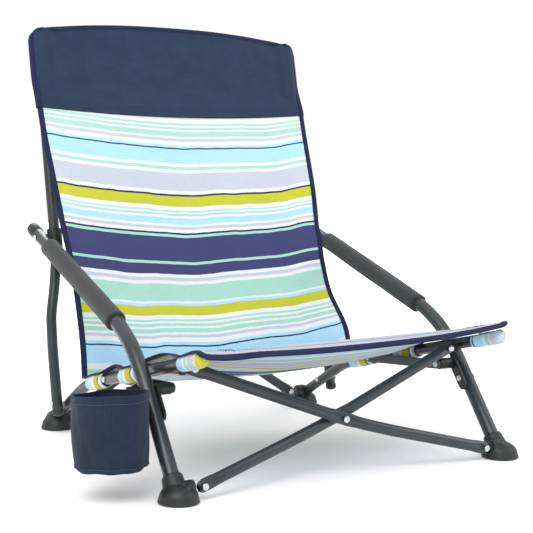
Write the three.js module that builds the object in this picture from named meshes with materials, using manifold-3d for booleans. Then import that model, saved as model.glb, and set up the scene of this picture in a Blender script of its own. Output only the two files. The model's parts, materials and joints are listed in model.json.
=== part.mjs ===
// Low folding camp chair with a striped sling, foam arm grips and a fabric cup holder.
// Millimetres, +Z up, the sitter faces -Y. The chair stands on four plastic feet.
// The frame folds like a bundle: its sides close in X while the legs and uprights turn.
import * as THREE from 'three';
import Module from 'manifold-3d';
import { mergeVertices } from 'three/addons/utils/BufferGeometryUtils.js';

const wasm = await Module();
wasm.setup();

// ---- driving dimensions -------------------------------------------------
const LEG_TUBE = { radius: 11, wall: 1.4, bend: 62 };
const RAIL_TUBE = { radius: 9, wall: 1.3, bend: 30 };
const BRACE_TUBE = { halfThick: 6.5, halfTall: 9, wall: 1.3 };
const TUBE_SIDES = 8;
const GAP = 0.3;

// distance of each tube from the middle plane
const LEG_X = 274;
const RAIL_X = 250;
const UPRIGHT_LOW_X = 270;
const UPRIGHT_X = 250;
const LINK_X = 233;

// side view of the frame, as [y, z]
const FRONT_FOOT = [-4, 0];
const LEG_START = [6, 17];
const ARM_CORNER = [147, 200];
const ARM_END = [583, 344];
const REAR_FOOT = [545, 0];
const RAIL_START = [552, 17];
const RAIL_ELBOW = [392, 100];
const RAIL_TIP = [-30, 192];
const UPRIGHT_PIVOT = [482, 56];
const UPRIGHT_TOP = [617, 678];
const LINK_PIVOT = [298, 120.5];
const BRACKET_PIVOT = [104, 134];
const ARM_PIVOT = meeting(ARM_CORNER, ARM_END, UPRIGHT_PIVOT, UPRIGHT_TOP);
const BRACKET_SCREW = [80, 113];
const BRACKET_LOW = [73, 104];
// the joggle of the upright, as distances up from its pivot
const UPRIGHT_BEND = { low: 140, high: 232, round: 24 };
const UPRIGHT_TAIL = 18;

// pivots of the cross braces, as [x, y, z] on the right-hand side
const FRONT_BRACE_TOP = [221, 60, 166];
const FRONT_BRACE_FOOT = [239, -7, 19];
const REAR_BRACE_FOOT = [214, 538, 27];
const REAR_BRACE_TOP = [225, 541, 326];
const BRACE_LAYER = 11.5;
const BRACE_OVERHANG = 8;
const BRACE_DROP = 15;
const KNUCKLE = { reach: 12.5, radius: 8 };

const FOOT = { radius: 26, height: 30, sole: 4 };
// distances of the grip's ends from the corner of the arm
const FOAM = { inner: LEG_TUBE.radius + GAP, outer: 15.6, front: 62, rear: 372, lip: 4 };
const LINK = { thick: 5, wide: 15 };
const BRACKET = { plate: 3.3, boss: 9, high: 146 };
const COLLAR = { wall: 3.6, play: 0.35, below: 17, above: 15, ear: 8 };
const RIVET = { shaft: 2.4, head: 5, headHeight: 2.2 };
const BRACE_PLAY = 1.4;

const SLING = { halfWidth: 226, thick: 3, crease: 397, steps: 26 };
const HEADER = { halfWidth: 263, thick: 26, cloth: 3, low: 512, above: 10 };
const CUP = { x: -342, y: 62, top: 140, bottom: 41, radius: 53, cloth: 3 };
const STRAP = { x: -246, y: 188, z: 131.5, width: 20, thick: 2.5 };

const COLOURS = {
  powderCoat: { color: 0x454d51, roughness: 0.38, metalness: 0.6 },
  plastic: { color: 0x1b1e20, roughness: 0.5, metalness: 0 },
  foam: { color: 0x2b2e30, roughness: 0.95, metalness: 0 },
  steel: { color: 0xb9bdbf, roughness: 0.3, metalness: 1 },
  stripes: { color: 0xb5d8dc, roughness: 0.9, metalness: 0 },
  navy: { color: 0x2c3f5c, roughness: 0.9, metalness: 0 },
};

const SIDES = [
  { name: 'left', sign: -1 },
  { name: 'right', sign: 1 },
];

const chair = new THREE.Group();

// ---- helpers --------------------------------------------------------------
function addPart(name, geometry, look) {
  const mesh = new THREE.Mesh(geometry, new THREE.MeshStandardMaterial(COLOURS[look]));
  mesh.name = name;
  chair.add(mesh);
}

function toSolid(geometry) {
  const bare = geometry.clone();
  bare.deleteAttribute('normal');
  bare.deleteAttribute('uv');
  const merged = mergeVertices(bare, 1e-4);
  return new wasm.Manifold(new wasm.Mesh({
    numProp: 3,
    vertProperties: new Float32Array(merged.attributes.position.array),
    triVerts: new Uint32Array(merged.index.array),
  }));
}

function toGeometry(solid) {
  const mesh = solid.getMesh();
  const geometry = new THREE.BufferGeometry();
  geometry.setAttribute('position', new THREE.BufferAttribute(mesh.vertProperties, 3));
  geometry.setIndex(new THREE.BufferAttribute(mesh.triVerts, 1));
  return geometry;
}

function unite(...geometries) {
  return geometries.map(toSolid).reduce((sum, solid) => sum.add(solid));
}

// a point of the side view, moved out to a distance from the middle plane
function at(x, [y, z]) {
  return new THREE.Vector3(x, y, z);
}

// where the line through a and b crosses the line through c and d
function meeting([ay, az], [by, bz], [cy, cz], [dy, dz]) {
  const [uy, uz, vy, vz] = [by - ay, bz - az, dy - cy, dz - cz];
  const share = ((cy - ay) * vz - (cz - az) * vy) / (uy * vz - uz * vy);
  return [ay + share * uy, az + share * uz];
}

function along([y0, z0], [y1, z1], distance) {
  const length = Math.hypot(y1 - y0, z1 - z0);
  return [y0 + (y1 - y0) * distance / length, z0 + (z1 - z0) * distance / length];
}

// straight runs through the points, with each inner corner rounded
function bentPath(points, cornerLength) {
  const path = new THREE.CurvePath();
  let start = points[0];
  for (let i = 1; i < points.length - 1; i += 1) {
    const corner = points[i];
    const before = corner.clone().add(start.clone().sub(corner).setLength(cornerLength));
    const after = corner.clone().add(points[i + 1].clone().sub(corner).setLength(cornerLength));
    path.add(new THREE.LineCurve3(start, before));
    path.add(new THREE.QuadraticBezierCurve3(before, corner, after));
    start = after;
  }
  path.add(new THREE.LineCurve3(start, points[points.length - 1]));
  return path;
}

function ovalOutline(halfX, halfY) {
  return Array.from({ length: TUBE_SIDES }, (_, i) => {
    const angle = (i + 0.5) * 2 * Math.PI / TUBE_SIDES;
    return new THREE.Vector2(halfX * Math.cos(angle), halfY * Math.sin(angle));
  });
}

function ringShape(halfX, halfY, wall) {
  const shape = new THREE.Shape(ovalOutline(halfX, halfY));
  shape.holes.push(new THREE.Path(ovalOutline(halfX - wall, halfY - wall)));
  return shape;
}

function tube(path, { radius, wall }, steps) {
  const shape = ringShape(radius, radius, wall);
  return new THREE.ExtrudeGeometry(shape, { steps, bevelEnabled: false, extrudePath: path });
}

// a lathe form turned so that its own axis runs from one point towards another
function turned(profile, from, towards, sides = 12) {
  const points = profile.map(([r, h]) => new THREE.Vector2(r, h));
  const geometry = new THREE.LatheGeometry(points, sides);
  const direction = towards.clone().sub(from).normalize();
  const turn = new THREE.Quaternion().setFromUnitVectors(new THREE.Vector3(0, 1, 0), direction);
  return geometry.applyQuaternion(turn).translate(from.x, from.y, from.z);
}

function rod(from, to, radius, sides = 12) {
  const length = from.distanceTo(to);
  return turned([[0, 0], [radius, 0], [radius, length], [0, length]], from, to, sides);
}

// a plate lying in the side view, from x = inner to x = outer
function sidePlate(shape, inner, outer) {
  const depth = Math.abs(outer - inner);
  const plate = new THREE.ExtrudeGeometry(shape, { depth, bevelEnabled: false, curveSegments: 5 });
  plate.applyMatrix4(new THREE.Matrix4().set(0, 0, 1, 0, 1, 0, 0, 0, 0, 1, 0, 0, 0, 0, 0, 1));
  return plate.translate(Math.min(inner, outer), 0, 0);
}

// a bar with round ends between two points of the side view
function barShape([y0, z0], [y1, z1], halfWide) {
  const heading = Math.atan2(z1 - z0, y1 - y0);
  const shape = new THREE.Shape();
  shape.absarc(y0, z0, halfWide, heading + Math.PI / 2, heading - Math.PI / 2, false);
  shape.absarc(y1, z1, halfWide, heading - Math.PI / 2, heading + Math.PI / 2, false);
  return shape;
}

// a rivet on an axis: a thin shaft with a domed head at each end
function rivet(from, to) {
  const length = from.distanceTo(to);
  const { shaft, head, headHeight } = RIVET;
  const profile = [
    [0, 0], [head * 0.7, 0.5], [head, headHeight], [shaft, headHeight],
    [shaft, length - headHeight], [head, length - headHeight], [head * 0.7, length - 0.5], [0, length],
  ];
  return turned(profile, from, to, 8);
}

// a pin with a head at its first end only
function addPin(name, from, to) {
  const { shaft, head, headHeight } = RIVET;
  const length = from.distanceTo(to);
  const profile = [
    [0, 0], [head * 0.7, 0.5], [head, headHeight], [shaft, headHeight], [shaft, length], [0, length],
  ];
  addPart(name, turned(profile, from, to, 8), 'steel');
}

function acrossX(x0, x1, [y, z]) {
  return [new THREE.Vector3(x0, y, z), new THREE.Vector3(x1, y, z)];
}

// cuts rivet holes, a little wider than the shaft, along X at points of the side view
function drilled(solid, x0, x1, ...places) {
  let result = solid;
  for (const place of places) {
    const [from, to] = acrossX(x0, x1, place);
    result = result.subtract(toSolid(rod(from, to, RIVET.shaft + GAP, 8)));
  }
  return result;
}

// ---- bent tubes ------------------------------------------------------------
function legArmPath(sign) {
  return bentPath([LEG_START, ARM_CORNER, ARM_END].map((place) => at(sign * LEG_X, place)), LEG_TUBE.bend);
}

function railPath(sign) {
  const corners = [RAIL_START, RAIL_ELBOW, RAIL_TIP].map((place) => at(sign * RAIL_X, place));
  return bentPath(corners, RAIL_TUBE.bend);
}

function uprightPoint(distance, x) {
  return at(x, along(UPRIGHT_PIVOT, UPRIGHT_TOP, distance));
}

function uprightPath(sign) {
  const reach = Math.hypot(UPRIGHT_TOP[0] - UPRIGHT_PIVOT[0], UPRIGHT_TOP[1] - UPRIGHT_PIVOT[1]);
  return bentPath([
    uprightPoint(-UPRIGHT_TAIL, sign * UPRIGHT_LOW_X),
    uprightPoint(UPRIGHT_BEND.low, sign * UPRIGHT_LOW_X),
    uprightPoint(UPRIGHT_BEND.high, sign * UPRIGHT_X),
    uprightPoint(reach, sign * UPRIGHT_X),
  ], UPRIGHT_BEND.round);
}

function addLegArm({ name, sign }) {
  const path = legArmPath(sign);
  const outerFace = sign * (LEG_X + LEG_TUBE.radius + 2);
  const innerFace = sign * (LEG_X - LEG_TUBE.radius - 2);
  const bar = drilled(toSolid(tube(path, LEG_TUBE, 15)), innerFace, outerFace, ARM_PIVOT, BRACKET_SCREW);
  addPart(`leg_arm_${name}`, toGeometry(bar), 'powderCoat');
  const foamStart = at(sign * LEG_X, along(ARM_CORNER, ARM_END, FOAM.front));
  const foamEnd = at(sign * LEG_X, along(ARM_CORNER, ARM_END, FOAM.rear));
  const length = foamStart.distanceTo(foamEnd);
  const profile = [
    [FOAM.inner, 0], [FOAM.outer - FOAM.lip, 0], [FOAM.outer, FOAM.lip],
    [FOAM.outer, length - FOAM.lip], [FOAM.outer - FOAM.lip, length], [FOAM.inner, length], [FOAM.inner, 0],
  ];
  addPart(`arm_foam_${name}`, turned(profile, foamStart, foamEnd, 16), 'foam');
  const end = at(sign * LEG_X, ARM_END);
  const before = at(sign * LEG_X, along(ARM_END, ARM_CORNER, 14));
  const outward = end.clone().multiplyScalar(2).sub(before);
  const bore = LEG_TUBE.radius - LEG_TUBE.wall - 1;
  const cap = [
    [0, -12], [bore, -12], [bore, GAP], [LEG_TUBE.radius, GAP],
    [LEG_TUBE.radius, 3], [LEG_TUBE.radius * 0.7, 6.5], [0, 7.5],
  ];
  addPart(`arm_end_cap_${name}`, turned(cap, end, outward), 'plastic');
}

function addRail({ name, sign }) {
  const solid = toSolid(tube(railPath(sign), RAIL_TUBE, 11));
  const faces = [sign * (RAIL_X - RAIL_TUBE.radius - 2), sign * (RAIL_X + RAIL_TUBE.radius + 2)];
  addPart(`rail_${name}`, toGeometry(drilled(solid, ...faces, LINK_PIVOT, UPRIGHT_PIVOT)), 'powderCoat');
  const tip = at(sign * RAIL_X, RAIL_TIP);
  const outward = at(sign * RAIL_X, along(RAIL_TIP, RAIL_ELBOW, -20));
  const bore = RAIL_TUBE.radius - RAIL_TUBE.wall - 1;
  const cap = [
    [0, -10], [bore, -10], [bore, GAP], [RAIL_TUBE.radius, GAP], [RAIL_TUBE.radius, 2], [5, 5], [0, 5.6],
  ];
  addPart(`rail_tip_cap_${name}`, turned(cap, tip, outward), 'plastic');
}

function addUpright({ name, sign }) {
  const solid = toSolid(tube(uprightPath(sign), RAIL_TUBE, 12));
  const faces = [sign * (UPRIGHT_LOW_X - 12), sign * (UPRIGHT_LOW_X + 12)];
  addPart(`upright_${name}`, toGeometry(drilled(solid, ...faces, UPRIGHT_PIVOT)), 'powderCoat');
  const bore = RAIL_TUBE.radius - RAIL_TUBE.wall - 1;
  const plug = [
    [0, -10], [bore, -10], [bore, GAP], [RAIL_TUBE.radius, GAP], [RAIL_TUBE.radius, 3], [5, 6], [0, 6.6],
  ];
  const low = uprightPoint(-UPRIGHT_TAIL, sign * UPRIGHT_LOW_X);
  const below = uprightPoint(-2 * UPRIGHT_TAIL, sign * UPRIGHT_LOW_X);
  addPart(`upright_foot_cap_${name}`, turned(plug, low, below), 'plastic');
  const top = at(sign * UPRIGHT_X, UPRIGHT_TOP);
  const above = at(sign * UPRIGHT_X, along(UPRIGHT_TOP, UPRIGHT_PIVOT, -20));
  addPart(`upright_top_cap_${name}`, turned(plug, top, above), 'plastic');
}

// ---- joints of the frame ----------------------------------------------------
function addLink({ name, sign }) {
  const inner = sign * (LINK_X - LINK.thick / 2);
  const outer = sign * (LINK_X + LINK.thick / 2);
  const bar = toSolid(sidePlate(barShape(LINK_PIVOT, BRACKET_PIVOT, LINK.wide / 2), inner, outer));
  const holes = drilled(bar, sign * 220, sign * 245, LINK_PIVOT, BRACKET_PIVOT);
  addPart(`link_${name}`, toGeometry(holes), 'powderCoat');
}

// the bracket grips the leg and carries a boss, under the rail, for the link
function addBracket({ name, sign }) {
  const legInner = sign * (LEG_X - LEG_TUBE.radius - GAP);
  const plateInner = legInner - sign * BRACKET.plate;
  const high = along(LEG_START, ARM_CORNER, BRACKET.high);
  const spine = sidePlate(barShape(BRACKET_LOW, high, BRACKET.boss), plateInner, legInner);
  const arm = sidePlate(barShape(high, BRACKET_PIVOT, BRACKET.boss - 1), plateInner, legInner);
  const bossInner = sign * (LINK_X + LINK.thick / 2 + GAP);
  const boss = rod(...acrossX(bossInner, legInner, BRACKET_PIVOT), BRACKET.boss, 16);
  const body = unite(spine, arm, boss);
  const pierced = drilled(body, bossInner - sign, legInner + sign, BRACKET_PIVOT, BRACKET_SCREW);
  addPart(`leg_bracket_${name}`, toGeometry(pierced), 'plastic');
}

// the collar slides on the upright and is riveted to the arm
function addCollar({ name, sign }) {
  const low = along(ARM_PIVOT, UPRIGHT_PIVOT, COLLAR.below);
  const high = along(ARM_PIVOT, UPRIGHT_TOP, COLLAR.above);
  const centre = at(sign * UPRIGHT_X, ARM_PIVOT);
  const from = at(sign * UPRIGHT_X, low);
  const to = at(sign * UPRIGHT_X, high);
  const barrel = toSolid(rod(from, to, RAIL_TUBE.radius + COLLAR.wall, 18));
  const ear = toSolid(rod(centre, at(sign * (LEG_X - LEG_TUBE.radius - GAP), ARM_PIVOT), COLLAR.ear, 16));
  const bore = toSolid(rod(
    from.clone().lerp(to, -0.2),
    to.clone().lerp(from, -0.2),
    RAIL_TUBE.radius + COLLAR.play,
    18,
  ));
  addPart(`collar_${name}`, toGeometry(barrel.add(ear).subtract(bore)), 'plastic');
}

// a domed foot with a slanted socket for its tube and a lug for a cross brace
function footSolid(sign, x, place, socketPath, brace) {
  const [y, z] = place;
  const { radius, height, sole } = FOOT;
  const dome = [[0, 0], [radius, 0], [radius, sole]];
  for (let i = 1; i <= 5; i += 1) {
    const angle = i * Math.PI / 10;
    dome.push([radius * Math.cos(angle), sole + (height - sole - 6) * Math.sin(angle)]);
  }
  dome[dome.length - 1][0] = 0;
  const base = new THREE.Vector3(sign * x, y, z);
  const up = new THREE.Vector3(sign * x, y, z + 1);
  const [tubeStart, tubeTowards, tubeRadius, reach] = socketPath;
  const mouth = tubeStart.clone().lerp(tubeTowards, reach / tubeStart.distanceTo(tubeTowards));
  const boss = rod(tubeStart, mouth, tubeRadius + 3.5, 12);
  const lugOuter = new THREE.Vector3(sign * (x - 14), brace[1], brace[2]);
  const lugInner = new THREE.Vector3(sign * (brace[0] + KNUCKLE.reach), brace[1], brace[2]);
  const lug = rod(lugInner, lugOuter, 9, 14);
  const body = unite(turned(dome, base, up, 18), boss, lug);
  const under = rod(base.clone().setZ(-60), base.clone().setZ(0), radius * 2, 8);
  const far = tubeStart.clone().lerp(tubeTowards, 2 * reach / tubeStart.distanceTo(tubeTowards));
  const socket = rod(tubeStart.clone().lerp(tubeTowards, -0.002), far, tubeRadius + GAP, 12);
  return body.subtract(toSolid(under)).subtract(toSolid(socket));
}

function addFeet({ name, sign }) {
  const leg = [at(sign * LEG_X, LEG_START), at(sign * LEG_X, ARM_CORNER), LEG_TUBE.radius, 26];
  const front = footSolid(sign, LEG_X - 2, FRONT_FOOT, leg, FRONT_BRACE_FOOT);
  addPart(`front_foot_${name}`, toGeometry(front), 'plastic');
  const rail = [at(sign * RAIL_X, RAIL_START), at(sign * RAIL_X, RAIL_ELBOW), RAIL_TUBE.radius, 24];
  const rear = footSolid(sign, RAIL_X - 4, REAR_FOOT, rail, REAR_BRACE_FOOT);
  addPart(`rear_foot_${name}`, toGeometry(rear), 'plastic');
}

// ---- cross braces -------------------------------------------------------------
// each brace starts on its own side and ends on the far side; the two meet in layers
function bracePath(start, end, sign, layer, drop) {
  const from = new THREE.Vector3(sign * start[0], start[1], start[2]);
  const to = new THREE.Vector3(-sign * end[0], end[1], end[2]);
  const middle = from.clone().lerp(to, 0.54);
  middle.y += layer;
  middle.z -= drop;
  const first = from.clone().add(from.clone().sub(middle).setLength(BRACE_OVERHANG));
  const last = to.clone().add(to.clone().sub(middle).setLength(BRACE_OVERHANG));
  return { from, to, path: bentPath([first, middle, last], 60) };
}

function alongY(point, front, rear) {
  return [point.clone().setY(point.y - front), point.clone().setY(point.y + rear)];
}

// where a brace passes the middle plane
function crossingPoint(path) {
  const points = path.getSpacedPoints(240);
  return points.reduce((best, point) => (Math.abs(point.x) < Math.abs(best.x) ? point : best));
}

function addBrace(name, { from, to, path }) {
  const { halfThick, halfTall, wall } = BRACE_TUBE;
  const shape = ringShape(halfThick, halfTall, wall);
  const options = { steps: 9, bevelEnabled: false, extrudePath: path };
  let solid = toSolid(new THREE.ExtrudeGeometry(shape, options));
  const reach = halfThick + 6;
  for (const pivot of [from, to, crossingPoint(path)]) {
    solid = solid.subtract(toSolid(rod(...alongY(pivot, reach, reach), RIVET.shaft + BRACE_PLAY, 8)));
  }
  addPart(name, toGeometry(solid), 'powderCoat');
  const grip = halfThick + BRACE_PLAY + RIVET.headHeight;
  addPart(`${name}_near_rivet`, rivet(...alongY(from, grip, grip)), 'steel');
  addPart(`${name}_far_rivet`, rivet(...alongY(to, grip, grip)), 'steel');
}

// the rivet of a crossing sits in the front layer and stops short of the rear one
function addCrossingRivet(name, { path }) {
  const front = BRACE_TUBE.halfThick + BRACE_PLAY + RIVET.headHeight;
  addPin(name, ...alongY(crossingPoint(path), front, BRACE_TUBE.halfThick));
}

function addBraces({ name, sign }) {
  const layer = sign * BRACE_LAYER;
  const front = bracePath(FRONT_BRACE_TOP, FRONT_BRACE_FOOT, sign, layer, BRACE_DROP);
  const rear = bracePath(REAR_BRACE_FOOT, REAR_BRACE_TOP, sign, layer, 0);
  addBrace(`front_brace_${name}`, front);
  addBrace(`rear_brace_${name}`, rear);
  if (sign < 0) {
    addCrossingRivet('front_crossing_rivet', front);
    addCrossingRivet('rear_crossing_rivet', rear);
  }
  const railFace = sign * (RAIL_X - RAIL_TUBE.radius - GAP);
  const tip = sign * (FRONT_BRACE_TOP[0] + KNUCKLE.reach);
  const knuckle = rod(...acrossX(railFace, tip, FRONT_BRACE_TOP.slice(1)), KNUCKLE.radius);
  addPart(`brace_knuckle_${name}`, knuckle, 'plastic');
}

// ---- rivets of the side frames -----------------------------------------------------
function addSideRivets({ name, sign }) {
  const across = (inner, outer, place) => acrossX(sign * inner, sign * outer, place);
  const linkInner = LINK_X - LINK.thick / 2 - GAP - RIVET.headHeight;
  const railOuter = RAIL_X + RAIL_TUBE.radius + GAP + RIVET.headHeight;
  const railInner = RAIL_X - RAIL_TUBE.radius - GAP - RIVET.headHeight;
  const uprightOuter = UPRIGHT_LOW_X + RAIL_TUBE.radius + GAP + RIVET.headHeight;
  const legOuter = LEG_X + LEG_TUBE.radius + GAP + RIVET.headHeight;
  const bracketInner = LEG_X - LEG_TUBE.radius - BRACKET.plate - 2 * GAP - RIVET.headHeight;
  addPart(`link_rivet_${name}`, rivet(...across(linkInner, railOuter, LINK_PIVOT)), 'steel');
  addPart(`upright_rivet_${name}`, rivet(...across(railInner, uprightOuter, UPRIGHT_PIVOT)), 'steel');
  addPart(`bracket_screw_${name}`, rivet(...across(bracketInner, legOuter, BRACKET_SCREW)), 'steel');
  addPin(`bracket_pin_${name}`, ...across(linkInner, LEG_X - LEG_TUBE.radius - 1, BRACKET_PIVOT));
  addPin(`collar_rivet_${name}`, ...across(legOuter, LEG_X - LEG_TUBE.radius + 1, ARM_PIVOT));
}

// ---- fabric ---------------------------------------------------------------------
// the sling hangs from the rail tips, over the rails and up to the header
function slingProfile() {
  const sideView = [
    [-38, 204], [60, 188], [200, 158], [330, 133], [395, 138], [432, 195], [485, 330], [575, 545],
  ];
  return new THREE.CatmullRomCurve3(sideView.map((place) => at(0, place))).getPoints(SLING.steps);
}

// the direction square to the sheet at each of its points, as [y, z]
function sheetNormals(points) {
  return points.map((point, i) => {
    const before = points[Math.max(i - 1, 0)];
    const after = points[Math.min(i + 1, points.length - 1)];
    const run = after.clone().sub(before).normalize();
    return [-run.z, run.y];
  });
}

function sheetShape(points, normals, thick) {
  const shape = new THREE.Shape();
  points.forEach(({ y, z }, i) => (i ? shape.lineTo(y, z) : shape.moveTo(y, z)));
  for (let i = points.length - 1; i >= 0; i -= 1) {
    shape.lineTo(points[i].y + normals[i][0] * thick, points[i].z + normals[i][1] * thick);
  }
  shape.closePath();
  return shape;
}

// seat and back meet in the crease, with a small gap so that the back can fold
function addSling() {
  const { halfWidth, thick, crease } = SLING;
  const points = slingProfile();
  const normals = sheetNormals(points);
  const fold = points.findIndex(({ y }) => y > crease);
  const seat = sheetShape(points.slice(0, fold + 1), normals, thick);
  const gap = points[fold + 1].clone().sub(points[fold]).setLength(GAP);
  points[fold] = points[fold].clone().add(gap);
  const back = sheetShape(points.slice(fold), normals.slice(fold), thick);
  addPart('sling_seat', sidePlate(seat, -halfWidth, halfWidth), 'stripes');
  addPart('sling_back', sidePlate(back, -halfWidth, halfWidth), 'stripes');
}

// a box whose height runs along the uprights, from one distance to another
function uprightBox(halfWidth, thick, low, high) {
  const box = new THREE.BoxGeometry(2 * halfWidth, thick, high - low);
  const lean = Math.atan2(UPRIGHT_TOP[0] - UPRIGHT_PIVOT[0], UPRIGHT_TOP[1] - UPRIGHT_PIVOT[1]);
  const middle = uprightPoint((low + high) / 2, 0);
  return box.rotateX(-lean).translate(0, middle.y, middle.z);
}

// the header is a cloth bag, open below, that slips over both uprights
function addHeader() {
  const { halfWidth, thick, cloth, low, above } = HEADER;
  const reach = uprightPoint(0, 0).distanceTo(at(0, UPRIGHT_TOP));
  const outside = toSolid(uprightBox(halfWidth, thick, low, reach + above + cloth));
  const inside = toSolid(uprightBox(halfWidth - cloth, thick - 2 * cloth, low - 5, reach + above));
  addPart('header_panel', toGeometry(outside.subtract(inside)), 'navy');
}

// a cloth cup that hangs outside the leg from a strap behind it
function addCupHolder() {
  const { x, y, top, bottom, radius, cloth } = CUP;
  const inner = radius - cloth;
  const profile = [
    [0, bottom], [radius - 4, bottom + 3], [radius, bottom + 12], [radius, top],
    [inner, top], [inner, bottom + 12], [inner - 4, bottom + 6], [0, bottom + 3],
  ];
  const centre = new THREE.Vector3(x, y, 0);
  addPart('cup_holder', turned(profile, centre, centre.clone().setZ(1), 28), 'navy');
  const end = new THREE.Vector2(STRAP.x, STRAP.y);
  const heading = end.clone().sub(new THREE.Vector2(x, y)).normalize();
  const start = new THREE.Vector2(x, y).addScaledVector(heading, radius + GAP);
  const strap = new THREE.BoxGeometry(start.distanceTo(end), STRAP.width, STRAP.thick);
  strap.rotateZ(Math.atan2(heading.y, heading.x));
  strap.translate((start.x + end.x) / 2, (start.y + end.y) / 2, STRAP.z);
  addPart('cup_strap', strap, 'navy');
}

chair.name = 'folding_camp_chair';
for (const side of SIDES) {
  addLegArm(side);
  addRail(side);
  addUpright(side);
  addLink(side);
  addBracket(side);
  addCollar(side);
  addFeet(side);
  addBraces(side);
  addSideRivets(side);
}
addSling();
addHeader();
addCupHolder();

// the origin is on the ground, under the middle of the whole chair
const box = new THREE.Box3().setFromObject(chair);
const middle = box.getCenter(new THREE.Vector3());
chair.position.set(-middle.x, -middle.y, -box.min.z);

export default chair;
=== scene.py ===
"""Folding camp chair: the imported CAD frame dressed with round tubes, moulded plastic and sewn cloth.
Metres, +Z up, the sitter faces -Y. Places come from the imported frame."""
import json
import math

import bpy
import numpy as np
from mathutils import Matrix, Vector, noise


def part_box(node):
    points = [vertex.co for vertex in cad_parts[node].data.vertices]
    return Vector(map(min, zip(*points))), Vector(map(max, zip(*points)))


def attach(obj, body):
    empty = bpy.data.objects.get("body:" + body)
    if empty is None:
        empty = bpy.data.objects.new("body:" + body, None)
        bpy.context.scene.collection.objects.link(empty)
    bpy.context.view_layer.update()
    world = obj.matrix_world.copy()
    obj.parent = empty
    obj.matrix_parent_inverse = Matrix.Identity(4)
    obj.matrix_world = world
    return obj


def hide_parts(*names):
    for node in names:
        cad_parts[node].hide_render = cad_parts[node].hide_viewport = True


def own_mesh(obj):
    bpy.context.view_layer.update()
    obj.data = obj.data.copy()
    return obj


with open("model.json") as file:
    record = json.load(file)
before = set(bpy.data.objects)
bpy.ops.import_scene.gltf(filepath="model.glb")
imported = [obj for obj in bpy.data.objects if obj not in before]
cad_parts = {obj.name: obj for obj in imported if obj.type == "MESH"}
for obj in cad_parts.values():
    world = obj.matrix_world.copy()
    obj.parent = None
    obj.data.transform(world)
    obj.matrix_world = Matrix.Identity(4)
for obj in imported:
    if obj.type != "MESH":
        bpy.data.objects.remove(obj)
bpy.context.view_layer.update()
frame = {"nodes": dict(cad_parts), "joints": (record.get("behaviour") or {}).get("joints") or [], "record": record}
MM = 0.001
SIDES = (("left", -1), ("right", 1))
X, Y, Z = np.eye(3)

# tubes: radius of each, and how the oval braces are pressed flat at their rivets
LEG_RADIUS = 11 * MM
RAIL_RADIUS = 9 * MM
BRACE_THIN = 6.5 * MM
BRACE_TALL = 8.6 * MM
BRACE_PRESSED = 4.2 * MM
BRACE_PRESS_LENGTH = 26 * MM

# plastic feet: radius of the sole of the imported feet
FOOT_RADIUS = 26 * MM

# cloth: thickness, the folded binding tape, and the radius of the rounded corners
CLOTH = 1.3 * MM
TAPE_WIDTH = 9 * MM
TAPE_THICK = 2.6 * MM
SEAT_CORNER = 13 * MM
HEADER_CORNER = 24 * MM

# the back's side edges: share of the upright's length, how far in front of it, half the width
BACK_EDGE = (
    (0.052, 0.1014, 0.259),
    (0.138, 0.1000, 0.257),
    (0.244, 0.0730, 0.249),
    (0.336, 0.0610, 0.248),
    (0.400, 0.0540, 0.251),
    (0.456, 0.0465, 0.2535),
    (0.569, 0.0380, 0.259),
    (0.716, 0.0210, 0.264),
    (0.812, 0.0130, 0.266),
)

# printed stripes: colour and width in millimetres, from the header down and over the seat to the front
STRIPES = (
    ("white", 6), ("mint", 4), ("white", 3.5), ("mint", 4), ("white", 3.5), ("mint", 9.5), ("white", 4),
    ("grey", 6), ("white", 7), ("sky", 5), ("navy", 3), ("sky", 27), ("white", 6.5), ("mint", 6),
    ("white", 6), ("grey", 34), ("white", 7), ("navy", 3.5), ("lime", 19), ("white", 7.5), ("mint", 3),
    ("white", 3.5), ("mint", 3.5), ("white", 4), ("sky", 11), ("white", 4.5), ("grey", 5), ("white", 6.5),
    ("navy", 3.5), ("mint", 5.5), ("violet", 46), ("mint", 4.5), ("violet", 20), ("white", 5.5),
    ("grey", 6.5), ("white", 6.5), ("mint", 33), ("white", 4), ("sky", 6), ("lime", 18), ("white", 7.5),
    ("mint", 4), ("white", 3.5), ("mint", 4.5), ("white", 4), ("mint", 8.5), ("white", 4), ("grey", 5),
    ("white", 7.5), ("sky", 4.5), ("navy", 3), ("sky", 27), ("white", 9), ("mint", 7.5), ("white", 8),
    ("grey", 34), ("white", 7), ("navy", 3.5), ("lime", 19), ("white", 7.5), ("mint", 3), ("white", 4),
    ("mint", 3.5), ("white", 4), ("sky", 11), ("white", 5), ("grey", 5), ("white", 7), ("mint", 20),
    ("white", 6), ("lime", 19), ("white", 7), ("violet", 44), ("mint", 5), ("violet", 17), ("white", 6),
    ("grey", 7), ("white", 7), ("mint", 7), ("white", 6), ("lime", 9), ("white", 3), ("grey", 18),
    ("white", 4), ("mint", 6), ("white", 5), ("sky", 22), ("navy", 3), ("sky", 24), ("white", 6),
)
FRONT_BAND = ("lilac", 400)
BAND_DEPTH = 70 * MM
STRIPE_COLOURS = {
    "white": (0.76, 0.78, 0.81),
    "mint": (0.37, 0.65, 0.55),
    "grey": (0.52, 0.56, 0.64),
    "sky": (0.40, 0.68, 0.86),
    "navy": (0.020, 0.026, 0.085),
    "violet": (0.046, 0.052, 0.155),
    "lime": (0.52, 0.53, 0.035),
    "lilac": (0.45, 0.475, 0.56),
}
NAVY_CLOTH = (0.015, 0.031, 0.065)
NAVY_TAPE = (0.009, 0.014, 0.054)
CUP_CLOTH = (0.009, 0.020, 0.042)

# camera: focal length in millimetres, place, tilt below the horizon and turn, in degrees
FOCAL_LENGTH = 80.56
CAMERA_PLACE = (-0.8833, -1.7132, 0.415)
CAMERA_TILT = 3.76
CAMERA_TURN = -29.28

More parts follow.
